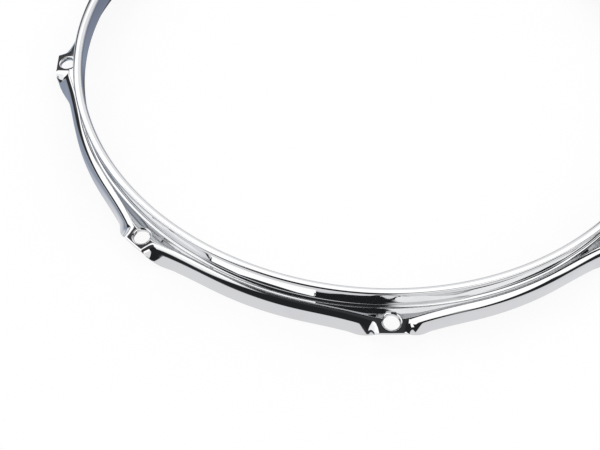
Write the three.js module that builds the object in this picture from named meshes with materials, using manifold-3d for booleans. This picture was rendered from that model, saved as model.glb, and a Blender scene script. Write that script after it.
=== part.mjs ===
// Drum hoop: the triple-flanged pressed-steel hoop of a 14 inch snare drum, snare side.
// Millimetres, +Z up. The hoop stands on the free edge of its skirt at z = 0, and its axis is Z.
// One strip of sheet runs all the way round: a turned-out lip, an upright collar, a level shelf
// and a third flange. The third flange hangs down as a skirt between the ears and comes up level
// with the shelf at each ear, where a hole takes a tension rod. The collar has two gates, one
// opposite the other, for the cords or straps of the snare wires.

import * as THREE from 'three';
import { mergeVertices } from 'three/addons/utils/BufferGeometryUtils.js';
import Module from 'manifold-3d';

// Sheet, the ring that it is bent into, and how far the lip's edge and the skirt's outer face
// stand out from the inner face of the collar
const sheetThickness = 2.3;
const collarInnerRadius = 179.3;
const lipReach = 4.7;
const skirtReach = 9.7;

// Heights above the surface that the hoop stands on
const hoopHeight = 28.5;
const shelfTopHeight = 13;

// Bends, each measured on the side of the sheet where it is tightest
const lipBendRadius = 0.7;
const shelfBendRadius = 2;
const shoulderBendRadius = 0.7;
const lipEdgeChamfer = 0.6;

// Ears: level beside the rod hole, then the fold down to the skirt. The shelf swells outwards
// towards each ear, and the skirt with it, over a longer way.
const earCount = 8;
const earFlatWidth = 11;
const earFoldLength = 20;
const shelfSwell = 5.6;
const shelfSwellLength = 44;

// Rod holes, with the rounded mouth that the punch leaves, and the metal that is left on the two
// sides of each: the seat towards the collar's bend and the edge towards the rim of the ear
const rodHoleDiameter = 9;
const rodHoleMouthRadius = 1.2;
const rodSeatWidth = 3;
const earEdgeWidth = 2.2;

// Snare gates, and the band of collar that is left over each, below the bend of the lip
const gateWidth = 62;
const gateHeadBand = 2;
const gateCornerRadius = 1.5;

// Butt weld that closes the strip, ground flush
const weldWidth = 3;

// Counts of facets
const lipBendSteps = 3;
const shelfBendSteps = 2;
const shoulderBendSteps = 3;
const earFoldSteps = 6;
const spanSteps = 8;
const holeSegments = 28;
const holeMouthSteps = 3;
const gateCornerSteps = 3;

// Every cutter stands proud of what it cuts by this much
const cutOverrun = 3;

// Chrome plate, a little duller where the weld was ground
const chromeColour = 0xdadde1;
const chromeRoughness = 0.06;
const weldRoughness = 0.14;

const quarterTurn = Math.PI / 2;
const halfSheet = sheetThickness / 2;

// Radii of the bends on the middle of the sheet, and the length of sheet in the shoulder
const lipBendMiddle = lipBendRadius + halfSheet;
const shelfBendMiddle = shelfBendRadius + halfSheet;
const shoulderBendMiddle = shoulderBendRadius + halfSheet;
const shoulderLength = quarterTurn * shoulderBendMiddle;

// Straight runs on the middle of the sheet, from the lip to the free edge of the skirt
const collarMiddleRadius = collarInnerRadius + halfSheet;
const lipRun = lipReach - halfSheet - lipBendMiddle;
const collarTop = hoopHeight - halfSheet - lipBendMiddle;
const collarBottom = shelfTopHeight - halfSheet + shelfBendMiddle;
const shelfStartRadius = collarMiddleRadius + shelfBendMiddle;
const shelfEndRadius = collarInnerRadius + skirtReach - halfSheet - shoulderBendMiddle;
const skirtRun = shelfTopHeight - halfSheet - shoulderBendMiddle;

// Circle of the rod holes, and how far the sheet runs past the shoulder at an ear
const rodCircleRadius = shelfStartRadius + rodSeatWidth + rodHoleDiameter / 2;
const earOuterRadius = rodCircleRadius + rodHoleDiameter / 2 + earEdgeWidth;
const earRun = earOuterRadius - shelfEndRadius - shelfSwell - shoulderLength;

// Angles round the ring. A span lies between two ears, and the gates are in two opposite spans.
const earPitch = (2 * Math.PI) / earCount;
const earHalfAngle = (earFlatWidth / 2 + earFoldLength) / rodCircleRadius;
const spanHalfAngle = earPitch / 2 - earHalfAngle;
const gateSpans = [Math.round(earCount / 4), Math.round((3 * earCount) / 4)];
const weldedSpan = 1;
const weldHalfAngle = weldWidth / 2 / collarInnerRadius;

const wasm = await Module();
wasm.setup();

// Shape of the third flange at an angle round the ring, from the way to the nearest ear.
// It is level beside the rod hole and folds down quickly at first, then eases into the skirt,
// while its free edge is trimmed shorter towards the ear.
function flangeAt(angle) {
  const turns = angle / earPitch - 0.5;
  const distance = Math.abs(turns - Math.round(turns)) * earPitch * rodCircleRadius;
  const past = distance - earFlatWidth / 2;
  const unfolded = 1 - THREE.MathUtils.clamp(past / earFoldLength, 0, 1);
  const swollen = 1 - THREE.MathUtils.clamp(past / shelfSwellLength, 0, 1);
  const trimmed = THREE.MathUtils.smoothstep(unfolded, 0, 1);
  return {
    fold: quarterTurn * (1 - unfolded ** 4 * (5 - 4 * unfolded)),
    shelfRun: shelfEndRadius - shelfStartRadius + shelfSwell * swollen ** 2,
    skirtRun: THREE.MathUtils.lerp(skirtRun, earRun, trimmed),
  };
}

// Follows the middle of the sheet as a pen would, from the end of the lip to the free edge of the
// third flange. Each stop keeps its radius, its height and the heading of the sheet there.
function sheetPath(flange) {
  const pen = {
    radius: collarInnerRadius + lipReach,
    height: hoopHeight - halfSheet,
    heading: Math.PI,
  };
  const stops = [{ ...pen }];

  function run(length) {
    pen.radius += length * Math.cos(pen.heading);
    pen.height += length * Math.sin(pen.heading);
    stops.push({ ...pen });
  }

  function bend(turn, length, steps) {
    const halfStep = turn / steps / 2;
    const chordShare = halfStep === 0 ? 1 : Math.sin(halfStep) / halfStep;
    for (let i = 0; i < steps; i++) {
      pen.heading += halfStep;
      pen.radius += (length / steps) * chordShare * Math.cos(pen.heading);
      pen.height += (length / steps) * chordShare * Math.sin(pen.heading);
      pen.heading += halfStep;
      stops.push({ ...pen });
    }
  }

  run(lipRun);
  bend(quarterTurn, quarterTurn * lipBendMiddle, lipBendSteps);
  run(collarTop - collarBottom);
  bend(quarterTurn, quarterTurn * shelfBendMiddle, shelfBendSteps);
  run(flange.shelfRun);
  bend(-flange.fold, shoulderLength, shoulderBendSteps);
  run(flange.skirtRun);
  return stops;
}

// Closed outline of the sheet in radius and height: from the under side of the lip along the
// outer side to the free edge, and back along the inner side. The lip has its corners taken off.
function sheetOutline(angle) {
  function beside(stop, offset, setBack) {
    const { radius, height, heading } = stop;
    return new THREE.Vector2(
      radius - offset * Math.sin(heading) + setBack * Math.cos(heading),
      height + offset * Math.cos(heading) + setBack * Math.sin(heading),
    );
  }

  const [lip, ...rest] = sheetPath(flangeAt(angle));
  return [
    beside(lip, halfSheet - lipEdgeChamfer, 0),
    beside(lip, halfSheet, lipEdgeChamfer),
    ...rest.map((stop) => beside(stop, halfSheet, 0)),
    ...rest.map((stop) => beside(stop, -halfSheet, 0)).reverse(),
    beside(lip, -halfSheet, lipEdgeChamfer),
    beside(lip, lipEdgeChamfer - halfSheet, 0),
  ];
}

// Lofts the sheet round the axis through a list of angles and closes both ends. Two neighbours
// have their end angle in common, so they meet face to face, as the one strip does.
function sweepSheet(angles) {
  const outlines = angles.map(sheetOutline);
  const pointCount = outlines[0].length;
  const positions = [];
  angles.forEach((angle, row) => {
    for (const point of outlines[row]) {
      positions.push(point.x * Math.cos(angle), point.x * Math.sin(angle), point.y);
    }
  });

  const indices = [];
  for (let row = 0; row < angles.length - 1; row++) {
    for (let i = 0; i < pointCount; i++) {
      const a = row * pointCount + i;
      const b = row * pointCount + ((i + 1) % pointCount);
      indices.push(a, b, a + pointCount, b, b + pointCount, a + pointCount);
    }
  }

  const lastRow = (angles.length - 1) * pointCount;
  for (const [i, j, k] of THREE.ShapeUtils.triangulateShape(outlines[0], [])) {
    indices.push(i, j, k);
  }
  for (const [i, j, k] of THREE.ShapeUtils.triangulateShape(outlines.at(-1), [])) {
    indices.push(lastRow + i, lastRow + k, lastRow + j);
  }

  const geometry = new THREE.BufferGeometry();
  geometry.setAttribute('position', new THREE.Float32BufferAttribute(positions, 3));
  geometry.setIndex(indices);
  return geometry;
}

// Turns a closed geometry into a solid that can be cut, without triangles that have no area
function toSolid(geometry) {
  const bare = geometry.clone();
  bare.deleteAttribute('normal');
  bare.deleteAttribute('uv');
  const merged = mergeVertices(bare);
  const triangles = [];
  for (let i = 0; i < merged.index.count; i += 3) {
    const [a, b, c] = merged.index.array.slice(i, i + 3);
    if (a !== b && b !== c && c !== a) triangles.push(a, b, c);
  }
  return new wasm.Manifold(new wasm.Mesh({
    numProp: 3,
    vertProperties: new Float32Array(merged.attributes.position.array),
    triVerts: new Uint32Array(triangles),
  }));
}

function cutAway(geometry, cutter) {
  const mesh = toSolid(geometry).subtract(toSolid(cutter)).getMesh();
  const result = new THREE.BufferGeometry();
  result.setAttribute('position', new THREE.BufferAttribute(mesh.vertProperties, 3));
  result.setIndex(new THREE.BufferAttribute(mesh.triVerts, 1));
  return result;
}

// Punch for a rod hole: straight below, with a rounded flare where it leaves the top of the ear
function rodHoleCutter(angle) {
  const holeRadius = rodHoleDiameter / 2;
  const mouthRadius = holeRadius + rodHoleMouthRadius;
  const low = shelfTopHeight - sheetThickness - cutOverrun;
  const high = shelfTopHeight + cutOverrun;
  const profile = [new THREE.Vector2(0, low), new THREE.Vector2(holeRadius, low)];
  for (let i = 0; i <= holeMouthSteps; i++) {
    const turn = (quarterTurn * i) / holeMouthSteps;
    profile.push(new THREE.Vector2(
      mouthRadius - rodHoleMouthRadius * Math.cos(turn),
      shelfTopHeight - rodHoleMouthRadius * (1 - Math.sin(turn)),
    ));
  }
  profile.push(new THREE.Vector2(mouthRadius, high), new THREE.Vector2(0, high));
  const cutter = new THREE.LatheGeometry(profile, holeSegments);
  cutter.rotateX(quarterTurn);
  cutter.translate(rodCircleRadius * Math.cos(angle), rodCircleRadius * Math.sin(angle), 0);
  return cutter;
}

// Punch for a snare gate: a window with rounded corners, driven straight out through the collar.
// Its sill is where the outer side of the collar begins to bend into the shelf.
function gateCutter(angle) {
  const halfWidth = gateWidth / 2;
  const sill = collarBottom;
  const head = collarTop - gateHeadBand;
  const right = halfWidth - gateCornerRadius;
  const window = new THREE.Shape();
  window.absarc(right, sill + gateCornerRadius, gateCornerRadius, -quarterTurn, 0, false);
  window.absarc(right, head - gateCornerRadius, gateCornerRadius, 0, quarterTurn, false);
  window.absarc(-right, head - gateCornerRadius, gateCornerRadius, quarterTurn, Math.PI, false);
  window.absarc(-right, sill + gateCornerRadius, gateCornerRadius, Math.PI, 3 * quarterTurn, false);

  const inner = Math.sqrt(collarInnerRadius ** 2 - halfWidth ** 2) - cutOverrun;
  const outer = collarInnerRadius + sheetThickness + cutOverrun;
  const cutter = new THREE.ExtrudeGeometry(window, {
    depth: outer - inner,
    bevelEnabled: false,
    curveSegments: gateCornerSteps,
  });
  cutter.translate(0, 0, inner);
  cutter.rotateX(quarterTurn);
  cutter.rotateZ(angle + quarterTurn);
  return cutter;
}

// Angles of an ear's stations, from the end of one fold to the end of the other
function earAngles(middle) {
  const distances = [];
  for (let i = 0; i <= earFoldSteps; i++) {
    distances.push(earFlatWidth / 2 + (earFoldLength * i) / earFoldSteps);
  }
  const bothSides = [...distances.map((distance) => -distance).reverse(), ...distances];
  return bothSides.map((distance) => middle + distance / rodCircleRadius);
}

function evenAngles(start, end, steps) {
  return Array.from({ length: steps + 1 }, (_, i) => start + ((end - start) * i) / steps);
}

const group = new THREE.Group();

function addPiece(name, geometry, colour, roughness) {
  geometry.computeVertexNormals();
  const material = new THREE.MeshStandardMaterial({ color: colour, roughness, metalness: 1 });
  const mesh = new THREE.Mesh(geometry, material);
  mesh.name = name;
  group.add(mesh);
}

for (let ear = 0; ear < earCount; ear++) {
  const angle = (ear + 0.5) * earPitch;
  const blank = sweepSheet(earAngles(angle));
  addPiece(`ear_${ear + 1}`, cutAway(blank, rodHoleCutter(angle)), chromeColour, chromeRoughness);
}

let plainCount = 0;
let gateCount = 0;
for (let span = 0; span < earCount; span++) {
  const middle = span * earPitch;
  const start = middle - spanHalfAngle;
  const end = middle + spanHalfAngle;
  if (span === weldedSpan) {
    const weldStart = middle - weldHalfAngle;
    const weldEnd = middle + weldHalfAngle;
    const sideSteps = Math.ceil(spanSteps / 2);
    const before = sweepSheet(evenAngles(start, weldStart, sideSteps));
    const weld = sweepSheet(evenAngles(weldStart, weldEnd, 1));
    const after = sweepSheet(evenAngles(weldEnd, end, sideSteps));
    addPiece('strip_start_span', before, chromeColour, chromeRoughness);
    addPiece('butt_weld', weld, chromeColour, weldRoughness);
    addPiece('strip_end_span', after, chromeColour, chromeRoughness);
  } else if (gateSpans.includes(span)) {
    gateCount += 1;
    const blank = sweepSheet(evenAngles(start, end, spanSteps));
    const gated = cutAway(blank, gateCutter(middle));
    addPiece(`gate_span_${gateCount}`, gated, chromeColour, chromeRoughness);
  } else {
    plainCount += 1;
    const plain = sweepSheet(evenAngles(start, end, spanSteps));
    addPiece(`plain_span_${plainCount}`, plain, chromeColour, chromeRoughness);
  }
}

export default group;
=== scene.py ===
import math

import bpy
from mathutils import Matrix, Vector


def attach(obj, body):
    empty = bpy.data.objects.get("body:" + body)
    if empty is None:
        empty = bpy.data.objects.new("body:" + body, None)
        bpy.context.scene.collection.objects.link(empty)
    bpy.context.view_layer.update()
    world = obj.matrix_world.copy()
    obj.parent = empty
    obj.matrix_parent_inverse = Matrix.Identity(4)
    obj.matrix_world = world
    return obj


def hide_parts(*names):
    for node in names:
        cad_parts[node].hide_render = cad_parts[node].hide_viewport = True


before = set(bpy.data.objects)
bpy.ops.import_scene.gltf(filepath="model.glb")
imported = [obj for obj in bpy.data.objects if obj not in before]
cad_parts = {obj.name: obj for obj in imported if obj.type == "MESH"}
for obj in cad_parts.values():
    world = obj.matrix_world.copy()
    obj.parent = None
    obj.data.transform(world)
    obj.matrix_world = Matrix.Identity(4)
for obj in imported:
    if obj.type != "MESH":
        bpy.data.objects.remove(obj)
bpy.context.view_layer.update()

mm = 0.001
near = 0.01 * mm                     # closer than this counts as the same place
quarterTurn = math.pi / 2
fullTurn = 2 * math.pi


# Helpers that every piece uses

def deselectAll():
    if bpy.context.object and bpy.context.object.mode != "OBJECT":
        bpy.ops.object.mode_set(mode="OBJECT")
    bpy.ops.object.select_all(action="DESELECT")


def makeActive(piece):
    deselectAll()
    piece.select_set(True)
    bpy.context.view_layer.objects.active = piece


def editDone():
    bpy.ops.object.mode_set(mode="OBJECT")


# Selects the parts of a mesh that pass a test, and stays in edit mode
def pick(piece, kind, test):
    makeActive(piece)
    bpy.ops.object.mode_set(mode="EDIT")
    bpy.ops.mesh.select_mode(type={"vertices": "VERT", "edges": "EDGE", "polygons": "FACE"}[kind])
    bpy.ops.mesh.select_all(action="DESELECT")
    bpy.ops.object.mode_set(mode="OBJECT")
    for part in getattr(piece.data, kind):
        part.select = test(part)
    bpy.ops.object.mode_set(mode="EDIT")


def pickAll(piece):
    pick(piece, "vertices", lambda v: True)


def pickRim(piece):  # where an open mesh ends
    pick(piece, "edges", lambda e: False)
    bpy.ops.mesh.select_non_manifold(extend=False)


def ends(piece, edge):
    return [piece.data.vertices[i].co for i in edge.vertices]


def extrude(out, up):
    bpy.ops.mesh.extrude_region_move(TRANSFORM_OT_translate={"value": (out, 0, up)})


def bevel(width, steps, kind="EDGES"):
    bpy.ops.mesh.bevel(offset=width, segments=steps, affect=kind)


def spin(turn, steps, copies=False):  # round the middle of the hoop
    bpy.ops.mesh.spin(steps=steps, dupli=copies, angle=turn, center=(0, 0, 0), axis=(0, 0, 1))


def applyModifier(piece, kind, **settings):
    makeActive(piece)
    modifier = piece.modifiers.new(kind.title(), kind)
    for name, value in settings.items():
        setattr(modifier, name, value)
    bpy.ops.object.modifier_apply(modifier=modifier.name)


def share(value):
    return min(max(value, 0), 1)


def eased(value):
    value = share(value)
    return value ** 2 * (3 - 2 * value)


# Section: a wire along the middle of the sheet, from the lip's edge to the skirt's

sheet = {
    "thickness": 2.3 * mm,
    "collarRadius": 179.3 * mm,      # inner face
    "lipReach": 5.3 * mm,            # edge of the lip, out from the collar's inner face
    "skirtReach": 9.7 * mm,          # outer face of the skirt, from the same place
    "height": 28.5 * mm,
    "shelfHeight": 13 * mm,
    "lipBend": 0.7 * mm,             # bends, each on its tight side
    "shelfBend": 2 * mm,
    "shoulderBend": 0.7 * mm,
    "bendSteps": 8,
    "lipCuts": 1,                    # cuts along the straight runs
    "collarCuts": 9,
    "shelfCuts": 3,
    "skirtCuts": 7,
}

halfSheet = sheet["thickness"] / 2
middleRadius = sheet["collarRadius"] + halfSheet
lipEdge = sheet["collarRadius"] + sheet["lipReach"]
lipLevel = sheet["height"] - halfSheet
shelfLevel = sheet["shelfHeight"] - halfSheet
skirtRadius = sheet["collarRadius"] + sheet["skirtReach"] - halfSheet
shelfBend = sheet["shelfBend"] + halfSheet
shoulderBend = sheet["shoulderBend"] + halfSheet
shelfStart = middleRadius + shelfBend
shelfEnd = skirtRadius - shoulderBend
skirtRun = shelfLevel - shoulderBend


def drawSection():
    deselectAll()
    bpy.ops.mesh.primitive_plane_add(size=mm)  # only one of its corners is kept
    section = bpy.context.object
    pick(section, "vertices", lambda v: v.index > 0)
    bpy.ops.mesh.delete(type="VERT")
    editDone()
    section.data.vertices[0].co = (lipEdge, 0, lipLevel)
    pickAll(section)
    extrude(middleRadius - lipEdge, 0)
    extrude(0, shelfLevel - lipLevel)
    extrude(skirtRadius - middleRadius, 0)
    extrude(0, -shelfLevel)
    for radius, level, bend in (
        (middleRadius, lipLevel, sheet["lipBend"] + halfSheet),
        (middleRadius, shelfLevel, shelfBend),
        (skirtRadius, shelfLevel, shoulderBend),
    ):
        corner = Vector((radius, 0, level))
        pick(section, "vertices", lambda v: (v.co - corner).length < near)
        bevel(bend, sheet["bendSteps"], "VERTICES")
    for cuts, along in (
        ("lipCuts", lambda a, b: min(a.z, b.z) > lipLevel - near),
        ("collarCuts", lambda a, b: max(a.x, b.x) < middleRadius + near),
        ("shelfCuts", lambda a, b: max(abs(a.z - shelfLevel), abs(b.z - shelfLevel)) < near),
        ("skirtCuts", lambda a, b: min(a.x, b.x) > skirtRadius - near),
    ):
        pick(section, "edges", lambda e: along(*ends(section, e)))
        bpy.ops.mesh.subdivide(number_cuts=sheet[cuts])
    editDone()
    return section


# One bay, from the middle of a span to the middle of the next, with its ear in between

bay = {
    "count": 8,
    "earFlat": 11 * mm,              # level stretch beside the rod hole
    "earFold": 18.5 * mm,            # along the rod circle, from level to upright
    "earLag": 1.5 * mm,              # how much later the shoulder folds than the ear's edge
    "crease": math.radians(22),      # the part of the fold that comes at once, beside the plate
    "creaseFrom": 1.4 * mm,
    "creaseLength": 4.2 * mm,
    "earReach": 20 * mm,             # where the skirt has its whole depth
    "swell": 5.6 * mm,               # how far the shelf swells out at the ear
    "swellLength": 42 * mm,
    "swellPower": 2.8,
    "swellEase": 5 * mm,             # rounds the swell off at the middle of the ear
    "shoulder": 4 * mm,              # pressed round, along the middle of the sheet
    "earDroop": math.radians(9),     # how far the ear hangs below level
    "rodHole": 9 * mm,
    "rodSeat": 3 * mm,               # from the bend at the collar to the rod hole
    "earEdge": 2.2 * mm,             # from the rod hole to the ear's edge
    "weld": 3 * mm,
    "weldSpan": 1,                   # its span, counted from the one on the X axis, which is 0
    "earSteps": 60,
    "spanSteps": 20,
}

rodCircle = shelfStart + bay["rodSeat"] + bay["rodHole"] / 2
earTip = rodCircle + bay["rodHole"] / 2 + bay["earEdge"]
earLength = earTip - skirtRadius + bay["shoulder"] - bay["swell"]  # sheet beyond the shelf
spanLength = quarterTurn * bay["shoulder"] + shelfLevel - bay["shoulder"]
pitch = fullTurn / bay["count"]
earHalf = (bay["earFlat"] / 2 + bay["earReach"]) / rodCircle
weldHalf = bay["weld"] / 2 / sheet["collarRadius"]
spanTurn = pitch / 2 - earHalf - weldHalf


def sweepBay(section):
    pickAll(section)
    for turn, steps in (
        (weldHalf, 1),
        (spanTurn, bay["spanSteps"]),
        (2 * earHalf, bay["earSteps"]),
        (spanTurn, bay["spanSteps"]),
        (weldHalf, 1),
    ):
        spin(turn, steps)
    editDone()


def foldFlange(radius, level, angle):  # where a point of the straight flange goes at this angle
    past = abs(abs(angle) - pitch / 2) * rodCircle - bay["earFlat"] / 2  # distance past the plate
    down = share((skirtRun - level) / skirtRun)
    folded = past - bay["earLag"] * (1 - down)
    creased = eased((folded - bay["creaseFrom"]) / bay["creaseLength"])
    upright = eased(folded / bay["earFold"])
    fold = bay["earDroop"] + bay["crease"] * creased
    fold += (quarterTurn - bay["earDroop"] - bay["crease"]) * upright
    length = earLength + (spanLength - earLength) * eased(past / bay["earReach"])
    swollen = math.hypot(max(past, 0), bay["swellEase"]) - bay["swellEase"]
    swollen = bay["swell"] * (1 - share(swollen / bay["swellLength"])) ** bay["swellPower"]
    end = skirtRadius - bay["shoulder"] + swollen
    if radius < shelfEnd + near:   # on the shelf
        onward = (end - shelfStart) * (radius - shelfStart) / (shelfEnd - shelfStart)
        return shelfStart + onward, level
    if level > skirtRun - near:    # in the bend of the shoulder
        turned, onward = fold * math.atan2(radius - shelfEnd, level - skirtRun) / quarterTurn, 0
    else:                          # on the skirt
        turned, onward = fold, (length - fold * bay["shoulder"]) * down
    outward = bay["shoulder"] * math.sin(turned) + onward * math.cos(turned)
    drop = bay["shoulder"] * (1 - math.cos(turned)) + onward * math.sin(turned)
    return end + outward, shelfLevel - drop


def shapeFlange(piece):
    for v in piece.data.vertices:
        radius = math.hypot(v.co.x, v.co.y)
        if radius > shelfStart + near and v.co.z < shelfLevel + near:
            angle = math.atan2(v.co.y, v.co.x)
            radius, level = foldFlange(radius, v.co.z, angle)
            v.co = (radius * math.cos(angle), radius * math.sin(angle), level)


# The ring: bays all round, given their thickness

def copyRound():  # what is selected, once for every other bay
    spin(fullTurn - pitch, bay["count"] - 1, copies=True)


def closeRing(piece):
    pickAll(piece)
    copyRound()
    bpy.ops.mesh.select_all(action="SELECT")
    bpy.ops.mesh.remove_doubles(threshold=near)
    bpy.ops.mesh.normals_make_consistent(inside=False)
    editDone()
    applyModifier(
        piece, "SOLIDIFY", thickness=sheet["thickness"], offset=0, use_even_offset=True,
        use_quality_normals=True,
    )
    pickAll(piece)
    bpy.ops.mesh.normals_make_consistent(inside=False)
    editDone()


# Punches for the rod holes and the gates

punch = {
    "mouth": 1.2 * mm,               # rounding of a rod hole where it leaves the top of the ear
    "mouthSteps": 6,
    "holeSides": 96,
    "overrun": 3 * mm,               # how far a rod hole's punch stands out of the sheet
    "gateWidth": 62 * mm,
    "gateSill": 15 * mm,             # lower and upper edge of a gate
    "gateHead": 23.5 * mm,
    "gateCorner": 1.5 * mm,
    "gateCornerSteps": 6,
    "gateOverrun": 9 * mm,           # both ends of a gate's punch, past the reach of the lip
    "gateInset": 1.5 * mm,           # its middle, inwards from the collar's
}


def earSag(place):  # how far the top of an ear lies below the shelf
    past = place.xy.length - (skirtRadius - bay["shoulder"] + bay["swell"])
    bend = bay["shoulder"] * math.sin(bay["earDroop"])
    if past < bend:
        return bay["shoulder"] - math.sqrt(bay["shoulder"] ** 2 - max(past, 0) ** 2)
    sag = bay["shoulder"] * (1 - math.cos(bay["earDroop"]))
    return sag + (past - bend) * math.tan(bay["earDroop"])


def rodPunch():
    deselectAll()
    low = sheet["shelfHeight"] - sheet["thickness"] - punch["overrun"]
    high = sheet["shelfHeight"] - punch["mouth"]
    wide = bay["rodHole"] / 2
    place = Vector((rodCircle * math.cos(pitch / 2), rodCircle * math.sin(pitch / 2), 0))
    bpy.ops.mesh.primitive_cylinder_add(
        vertices=punch["holeSides"], radius=wide, depth=high - low,
        location=place + Vector((0, 0, (low + high) / 2)),
    )
    cutter = bpy.context.object
    bpy.ops.object.transform_apply(location=True, rotation=True, scale=True)
    pick(cutter, "polygons", lambda f: f.center.z > high - near)
    for i in range(punch["mouthSteps"]):
        turn = quarterTurn * i / punch["mouthSteps"]
        onward = quarterTurn * (i + 1) / punch["mouthSteps"]
        rise = punch["mouth"] * (math.sin(onward) - math.sin(turn)) + near / 2  # clear of the ear
        wider = wide + punch["mouth"] * (math.cos(turn) - math.cos(onward))
        extrude(0, rise)
        bpy.ops.transform.resize(value=(wider / wide, wider / wide, 1), center_override=place)
        wide = wider
    extrude(0, punch["overrun"])
    editDone()
    for v in cutter.data.vertices:
        if v.co.z > high - near:
            v.co.z -= earSag(v.co)
    pickAll(cutter)
    copyRound()
    editDone()
    return cutter


def gatePunch():
    deselectAll()
    wide = punch["gateWidth"]
    deep = sheet["lipReach"] + punch["gateOverrun"]
    tall = punch["gateHead"] - punch["gateSill"]
    bpy.ops.mesh.primitive_cube_add(
        size=1, scale=(wide, deep, tall),
        location=(0, middleRadius - punch["gateInset"], punch["gateSill"] + tall / 2),
    )
    cutter = bpy.context.object
    bpy.ops.object.transform_apply(location=True, rotation=True, scale=True)

    def runsThrough(edge):
        first, last = ends(cutter, edge)
        return abs(first.y - last.y) > near

    pick(cutter, "edges", runsThrough)
    bevel(punch["gateCorner"], punch["gateCornerSteps"])
    bpy.ops.mesh.select_all(action="SELECT")
    spin(math.pi, 1, copies=True)
    editDone()
    return cutter


def cutWith(piece, cutter):
    applyModifier(piece, "BOOLEAN", object=cutter, operation="DIFFERENCE", solver="EXACT")
    bpy.data.objects.remove(cutter)


# Rounded edges

edges = {
    "width": 0.35 * mm,
    "steps": 3,
    "lipWidth": 0.8 * mm,            # upper edge of the lip, rounder than the others
    "lipSteps": 6,
    "sharp": math.radians(35),       # what bends more than this is an edge
}


def softenEdges(piece):
    def onLipEdge(edge):
        return all(
            p.z > sheet["height"] - near and math.hypot(p.x, p.y) > lipEdge - near
            for p in ends(piece, edge)
        )

    pick(piece, "edges", onLipEdge)
    bevel(edges["lipWidth"], edges["lipSteps"])
    editDone()
    applyModifier(
        piece, "BEVEL", width=edges["width"], segments=edges["steps"], limit_method="ANGLE",
        angle_limit=edges["sharp"], use_clamp_overlap=True, miter_outer="MITER_ARC",
    )
    makeActive(piece)
    bpy.ops.object.shade_smooth_by_angle(angle=edges["sharp"])


# The ring is parted where the pieces of the strip meet, and each length gets closed ends

def sectors():
    names = []
    for k in range(bay["count"]):
        middle = (k + 0.5) * pitch
        names.append((f"ear_{k + 1}", middle - earHalf, middle + earHalf))
    plain = gates = 0
    quarter = bay["count"] // 4
    for k in range(bay["count"]):
        middle = k * pitch
        start, end = middle - pitch / 2 + earHalf, middle + pitch / 2 - earHalf
        if k == bay["weldSpan"]:
            names.append(("strip_start_span", start, middle - weldHalf))
            names.append(("butt_weld", middle - weldHalf, middle + weldHalf))
            names.append(("strip_end_span", middle + weldHalf, end))
        elif k % (2 * quarter) == quarter:   # on the Y axis, where the gates are cut
            gates += 1
            names.append((f"gate_span_{gates}", start, end))
        else:
            plain += 1
            names.append((f"plain_span_{plain}", start, end))
    return names


def copyOf(piece, name):
    twin = bpy.data.objects.new(name, piece.data.copy())
    bpy.context.scene.collection.objects.link(twin)
    return twin


def partRing(ring):
    whole = copyOf(ring, "whole ring")  # lends its shading to the lengths, so that no joint shows
    parts = []
    for name, start, end in sectors():
        middle, half = (start + end) / 2, (end - start) / 2

        def inside(face):
            turn = math.atan2(face.center.y, face.center.x) - middle
            return abs((turn + math.pi) % fullTurn - math.pi) < half

        pick(ring, "polygons", inside)
        bpy.ops.mesh.separate(type="SELECTED")
        editDone()
        part = next(o for o in bpy.context.selected_objects if o != ring)
        pickRim(part)
        bpy.ops.mesh.mark_sharp()
        editDone()
        applyModifier(
            part, "DATA_TRANSFER", object=whole, use_loop_data=True,
            data_types_loops={"CUSTOM_NORMAL"}, loop_mapping="NEAREST_POLYNOR",
        )
        pickRim(part)
        bpy.ops.mesh.fill_holes(sides=0)
        editDone()
        part.name = part.data.name = f"{name}_chrome"
        parts.append((part, name))
    bpy.data.objects.remove(whole)
    bpy.data.objects.remove(ring)
    return parts


# Helpers for the node trees

def feed(tree, node, inputs):  # links a socket, sets anything else
    for name, value in dict(inputs).items():
        if isinstance(value, bpy.types.NodeSocket):
            tree.links.new(value, node.inputs[name])
        else:
            node.inputs[name].default_value = value


def addNode(tree, kind, inputs=(), **settings):
    node = tree.nodes.new(kind)
    for name, value in settings.items():
        setattr(node, name, value)
    feed(tree, node, inputs)
    return node


def makeGroup(name, inputs, outputs):
    group = bpy.data.node_groups.new(name, "ShaderNodeTree")
    for way, sockets in (("INPUT", inputs), ("OUTPUT", outputs)):
        for socket in sockets:
            group.interface.new_socket(socket, in_out=way, socket_type="NodeSocketFloat")
    return group, addNode(group, "NodeGroupInput").outputs


def sums(tree, operation, *values):
    return addNode(tree, "ShaderNodeMath", enumerate(values), operation=operation).outputs[0]


def ease(tree, value, start, end):  # soft step from 0 to 1
    return addNode(
        tree, "ShaderNodeMapRange", {"Value": value, "From Min": start, "From Max": end},
        interpolation_type="SMOOTHSTEP",
    ).outputs["Result"]


def mixColours(tree, amount, first, second):  # 6, 7 and 2 are the node's colour sockets
    inputs = {0: amount, 6: first, 7: second}
    return addNode(tree, "ShaderNodeMix", inputs, data_type="RGBA").outputs[2]


def mixShaders(tree, amount, first, second):
    inputs = {0: amount, 1: first.outputs[0], 2: second.outputs[0]}
    return addNode(tree, "ShaderNodeMixShader", inputs)


# Chrome plating, polished along the hoop

chrome = {
    "colour": (0.75, 0.754, 0.76, 1),
    "hazeColour": (0.71, 0.715, 0.725, 1),
    "line": 1.7 * mm,                # spacing of the polishing lines
    "lineDetail": 3,                 # octaves of the noise behind them
    "drift": 90 * mm,                # distance along the hoop over which they change
    "driftDetail": 2,
    "driftReach": 2.5,               # how many lines they drift
    "smudge": 26 * mm,
    "smudgeDetail": 4,
    "smudgeEdge": (0.5, 0.78),
    "roughness": 0.018,
    "lineRoughness": 0.03,
    "smudgeRoughness": 0.05,
    "weldRoughness": 0.1,
    "ripple": 0.008 * mm,
    "weldRipple": 0.02 * mm,
}


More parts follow.
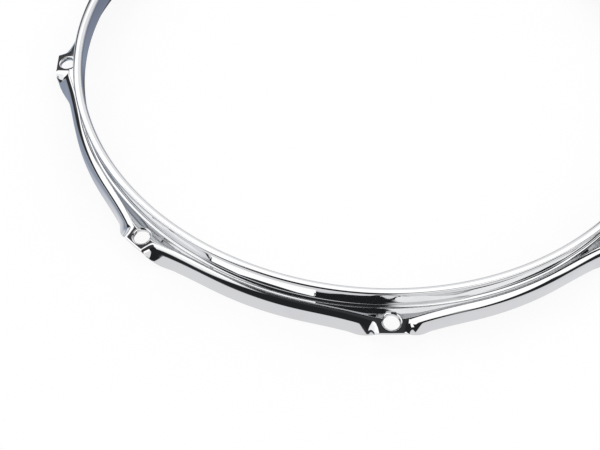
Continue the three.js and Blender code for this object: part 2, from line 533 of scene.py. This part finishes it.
def noise(tree, place, size, detail):
    scaled = addNode(tree, "ShaderNodeVectorMath", {0: place, "Scale": 1 / size}, operation="SCALE")
    return addNode(
        tree, "ShaderNodeTexNoise", {"Vector": scaled.outputs[0], "Scale": 1, "Detail": detail},
    ).outputs[0]


def makePolishGroup():
    group, given = makeGroup("polished plating", ("Roughness",), ("Haze", "Roughness", "Height"))
    place = addNode(group, "ShaderNodeTexCoord").outputs["Object"]
    axes = addNode(group, "ShaderNodeSeparateXYZ", {"Vector": place}).outputs
    flat = addNode(group, "ShaderNodeCombineXYZ", {"X": axes["X"], "Y": axes["Y"]}).outputs[0]
    radius = addNode(group, "ShaderNodeVectorMath", {0: flat}, operation="LENGTH").outputs["Value"]
    drift = noise(group, place, chrome["drift"], chrome["driftDetail"])
    drift = sums(group, "MULTIPLY", drift, chrome["driftReach"] * chrome["line"])
    across = addNode(group, "ShaderNodeCombineXYZ", {"X": radius, "Y": axes["Z"], "Z": drift})
    lines = noise(group, across.outputs[0], chrome["line"], chrome["lineDetail"])
    smudges = noise(group, place, chrome["smudge"], chrome["smudgeDetail"])
    haze = ease(group, smudges, *chrome["smudgeEdge"])
    rough = given["Roughness"]
    for pattern, most in ((lines, chrome["lineRoughness"]), (haze, chrome["smudgeRoughness"])):
        rough = sums(group, "ADD", rough, sums(group, "MULTIPLY", pattern, most))
    addNode(group, "NodeGroupOutput", {"Haze": haze, "Roughness": rough, "Height": lines})
    return group


def chromeMaterial(name, polish, roughness, ripple):
    material = bpy.data.materials.new(name)
    material.use_nodes = True
    tree = material.node_tree
    plating = addNode(tree, "ShaderNodeGroup", {"Roughness": roughness}, node_tree=polish).outputs
    bump = addNode(tree, "ShaderNodeBump", {"Height": plating["Height"], "Distance": ripple})
    feed(tree, tree.nodes["Principled BSDF"], {
        "Metallic": 1,
        "Base Color": mixColours(tree, plating["Haze"], chrome["colour"], chrome["hazeColour"]),
        "Roughness": plating["Roughness"],
        "Normal": bump.outputs[0],
    })
    return material


print("section of the sheet")
hoop = drawSection()
print("one bay")
sweepBay(hoop)
shapeFlange(hoop)
print("ring")
closeRing(hoop)
print("rod holes and gates")
cutWith(hoop, rodPunch())
cutWith(hoop, gatePunch())
print("soft edges")
softenEdges(hoop)
print("pieces")
polish = makePolishGroup()
bright = chromeMaterial("bright chrome", polish, chrome["roughness"], chrome["ripple"])
dressed = chromeMaterial("dressed weld", polish, chrome["weldRoughness"], chrome["weldRipple"])
for part, node in partRing(hoop):
    part.data.materials.clear()
    part.data.materials.append(dressed if node == "butt_weld" else bright)
    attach(part, "root")
    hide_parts(node)


# Studio: a pale floor, and a light tent whose panels leave dark gaps that the chrome mirrors

paleFloor = {
    "size": 8,
    "colour": (0.9, 0.9, 0.9, 1),
    "litShare": 0.2,                      # share of its white that comes from the light on it
    "glow": 1.094,
    "mirrored": (0.85, 0.85, 0.87, 1),    # what the chrome shows of it
    "left": (0.33, 0.375, 0.47, 1),       # the same on the left, and darker there inside the hoop, with painted shade of its walls
    "within": (0.19, 0.22, 0.3, 1),
    "under": (0.1, 0.1, 0.105, 1),        # painted shadow: the hoop's own shade on the floor, as the chrome shows it
    "far": (0.034, 0.034, 0.04, 1),
    "leftEdge": (-80 * mm, -150 * mm),    # where each of these starts, and where it is full
    "insideShadeEdge": (185 * mm, 165 * mm),
    "underInside": (176 * mm, 179 * mm),
    "underOutside": (188 * mm, 186 * mm),
    "farEdge": (250 * mm, 420 * mm),
    "farLeft": (-260 * mm, -160 * mm),
}


def makeFloor():
    deselectAll()
    bpy.ops.mesh.primitive_plane_add(size=paleFloor["size"])
    floor = bpy.context.object
    floor.name = "floor"
    material = bpy.data.materials.new("pale floor")
    material.use_nodes = True
    tree = material.node_tree
    tree.nodes.clear()
    place = addNode(tree, "ShaderNodeTexCoord").outputs["Object"]
    away = addNode(tree, "ShaderNodeVectorMath", {0: place}, operation="LENGTH").outputs["Value"]
    across = addNode(tree, "ShaderNodeSeparateXYZ", {"Vector": place}).outputs["X"]
    # Painted shade: inside the hoop, the floor turns darker in what the chrome shows of it
    inside = ease(tree, away, *paleFloor["insideShadeEdge"])
    left = mixColours(tree, inside, paleFloor["left"], paleFloor["within"])
    onLeft = ease(tree, across, *paleFloor["leftEdge"])
    mirrored = mixColours(tree, onLeft, paleFloor["mirrored"], left)
    # Painted shadow: under the hoop, the floor turns dark in what the chrome shows of it
    under = sums(
        tree, "MULTIPLY",
        ease(tree, away, *paleFloor["underInside"]), ease(tree, away, *paleFloor["underOutside"]),
    )
    mirrored = mixColours(tree, under, mirrored, paleFloor["under"])
    far = sums(
        tree, "MULTIPLY",
        ease(tree, away, *paleFloor["farEdge"]), ease(tree, across, *paleFloor["farLeft"]),
    )
    mirrored = mixColours(tree, far, mirrored, paleFloor["far"])
    rays = addNode(tree, "ShaderNodeLightPath").outputs
    mirror = addNode(tree, "ShaderNodeEmission", {"Color": mirrored})
    lit = addNode(tree, "ShaderNodeBsdfDiffuse", {"Color": paleFloor["colour"]})
    white = addNode(tree, "ShaderNodeEmission", {"Strength": paleFloor["glow"]})
    seen = mixShaders(tree, paleFloor["litShare"], white, lit)
    reflected = sums(tree, "MAXIMUM", rays["Is Glossy Ray"], rays["Is Transmission Ray"])
    shown = mixShaders(tree, rays["Is Camera Ray"], lit, seen)
    final = mixShaders(tree, reflected, shown, mirror)
    addNode(tree, "ShaderNodeOutputMaterial", {"Surface": final.outputs[0]})
    floor.data.materials.append(material)


tent = {
    "dark": (0.02, 0.021, 0.023, 1),
    "overhead": (0.045, 0.046, 0.05, 1),
    "overheadEdge": (66, 76),        # degrees above the horizon
    "backdrop": (1, 1, 1, 1),        # what the camera sees of it
}

lamp = (1.4, 1.4, 1.4, 1)
blackCard = (0.034, 0.035, 0.038, 1)
greyCard = (0.067, 0.067, 0.073, 1)

panelInputs = ("Middle", "Half Width", "Lowest", "Highest", "Slant", "Edge")

panels = (  # values for these inputs, all but the slant in degrees, and a colour
    (-156, 30, 2, 67, -0.25, 5, (1.12, 1.13, 1.15, 1)),
    (-170, 26, 55, 71, -0.1, 4, lamp),
    (163, 20, 40, 70, 0, 4, lamp),
    (82, 30, 4, 52, 0, 5, (1, 1, 1.01, 1)),
    (100, 36, 44, 64, 0, 4, lamp),
    (-2, 31, 36, 71, 0.6, 3, lamp),
    (-48, 10, -4, 38, 0, 4, (0.95, 0.95, 0.95, 1)),
    (-44, 9, 42, 64, 0, 3, lamp),
    (158, 9, -5, 28, 0, 4, (0.9, 0.92, 0.96, 1)),
    (-132, 30, -12, 8, 0, 3, blackCard),
    (180, 15, 8, 44, 0, 3, blackCard),
    (180, 20, 30, 70, -0.42, 3, lamp),
    (180, 17, -6, 3, 0, 3, (0.33, 0.36, 0.42, 1)),
    (140, 8, 18, 38, 0, 3, greyCard),
    (143, 4, 45, 49, 0, 2, greyCard),
    (148, 8, 56, 64, 0, 3, greyCard),
    (131, 5, 28, 43, 0, 1, (0.1, 0.1, 0.105, 1)),
    (8, 9, 14, 42, 0, 3, lamp),
)


def makePanelGroup():
    group, given = makeGroup("light panel", ("Turn", "Height", *panelInputs), ("Mask",))
    height, edge = given["Height"], given["Edge"]
    away = sums(group, "SUBTRACT", given["Turn"], given["Middle"])
    away = sums(group, "WRAP", away, 180, -180)
    lowest = sums(group, "ADD", given["Lowest"], sums(group, "MULTIPLY", away, given["Slant"]))
    away = sums(group, "ABSOLUTE", away)
    widest = sums(group, "ADD", given["Half Width"], edge)
    within = ease(group, away, widest, given["Half Width"])
    above = ease(group, height, sums(group, "SUBTRACT", lowest, edge), lowest)
    highest = sums(group, "ADD", given["Highest"], edge)
    below = ease(group, height, highest, given["Highest"])
    mask = sums(group, "MULTIPLY", within, sums(group, "MULTIPLY", above, below))
    addNode(group, "NodeGroupOutput", {"Mask": mask})
    return group


def makeWorld():
    world = bpy.data.worlds.new("studio")
    bpy.context.scene.world = world
    world.use_nodes = True
    tree = world.node_tree
    tree.nodes.clear()
    direction = addNode(tree, "ShaderNodeTexCoord").outputs["Generated"]
    axes = addNode(tree, "ShaderNodeSeparateXYZ", {"Vector": direction}).outputs
    turn = sums(tree, "DEGREES", sums(tree, "ARCTAN2", axes["Y"], axes["X"]))
    height = sums(tree, "DEGREES", sums(tree, "ARCSINE", axes["Z"]))
    overhead = ease(tree, height, *tent["overheadEdge"])
    colour = mixColours(tree, overhead, tent["dark"], tent["overhead"])
    panel = makePanelGroup()
    for *values, panelColour in panels:
        inputs = {"Turn": turn, "Height": height, **dict(zip(panelInputs, values))}
        mask = addNode(tree, "ShaderNodeGroup", inputs, node_tree=panel).outputs["Mask"]
        colour = mixColours(tree, mask, colour, panelColour)
    rays = addNode(tree, "ShaderNodeLightPath").outputs
    colour = mixColours(tree, rays["Is Camera Ray"], colour, tent["backdrop"])
    background = addNode(tree, "ShaderNodeBackground", {"Color": colour})
    addNode(tree, "ShaderNodeOutputWorld", {"Surface": background.outputs[0]})


camera = {
    "place": (123.84 * mm, -466.18 * mm, 483.3 * mm),
    "yaw": math.radians(-19.75),
    "pitch": math.radians(53.31),
    "roll": math.radians(2.08),
    "lens": 62.72,
    "sensor": 36,
}


def makeCamera():
    data = bpy.data.cameras.new("camera")
    data.lens = camera["lens"]
    data.sensor_width = camera["sensor"]
    eye = bpy.data.objects.new("camera", data)
    bpy.context.scene.collection.objects.link(eye)
    stand = Matrix.Translation(camera["place"])
    for turn, axis in (
        (-camera["yaw"], "Z"),
        (quarterTurn - camera["pitch"], "X"),
        (camera["roll"], "Z"),
    ):
        stand = stand @ Matrix.Rotation(turn, 4, axis)
    eye.matrix_world = stand
    bpy.context.scene.camera = eye


print("studio")
makeFloor()
makeWorld()
makeCamera()
bpy.context.scene.view_settings.view_transform = "Standard"
